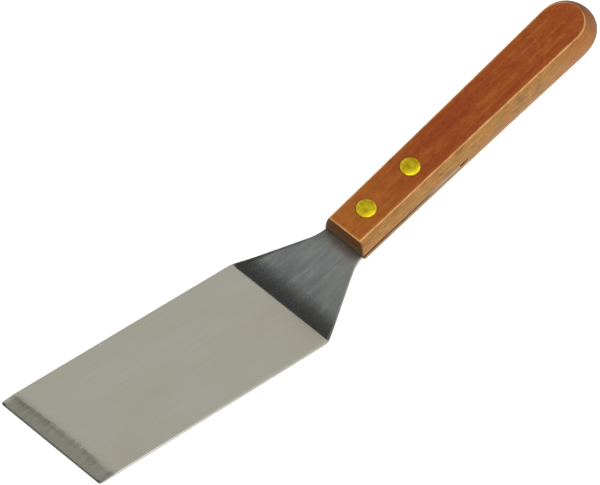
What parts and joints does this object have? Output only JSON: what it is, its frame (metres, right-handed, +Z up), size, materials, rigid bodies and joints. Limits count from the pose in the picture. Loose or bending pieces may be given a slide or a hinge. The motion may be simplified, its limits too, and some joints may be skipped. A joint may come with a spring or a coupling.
{
  "type": "offset turner",
  "caption": "Offset palette-knife turner: flat rectangular steel blade with a ground tip, raised tapering neck, and a slotted wooden handle held by brass rivets.",
  "frame": {"origin": "bottom centre of the whole knife's bounding box, on the surface that the blade's flat underside rests on", "axes": "+Z up, square to the blade; +Y along the knife from the blade's tip to the handle's end; X across the blade, with X = 0 its plane of symmetry"},
  "size_m": [0.0508, 0.3032, 0.0841],
  "materials": {
    "steel": "satin, ground lengthwise",
    "wood": "oiled reddish hardwood, fine pores",
    "brass": "polished, domed"
  },
  "bodies": {
    "root": {"blade": "steel", "handle": "wood", "rivet_front_socket": "brass", "rivet_front_pin": "brass", "rivet_rear_socket": "brass", "rivet_rear_pin": "brass"}
  },
  "joints": []
}
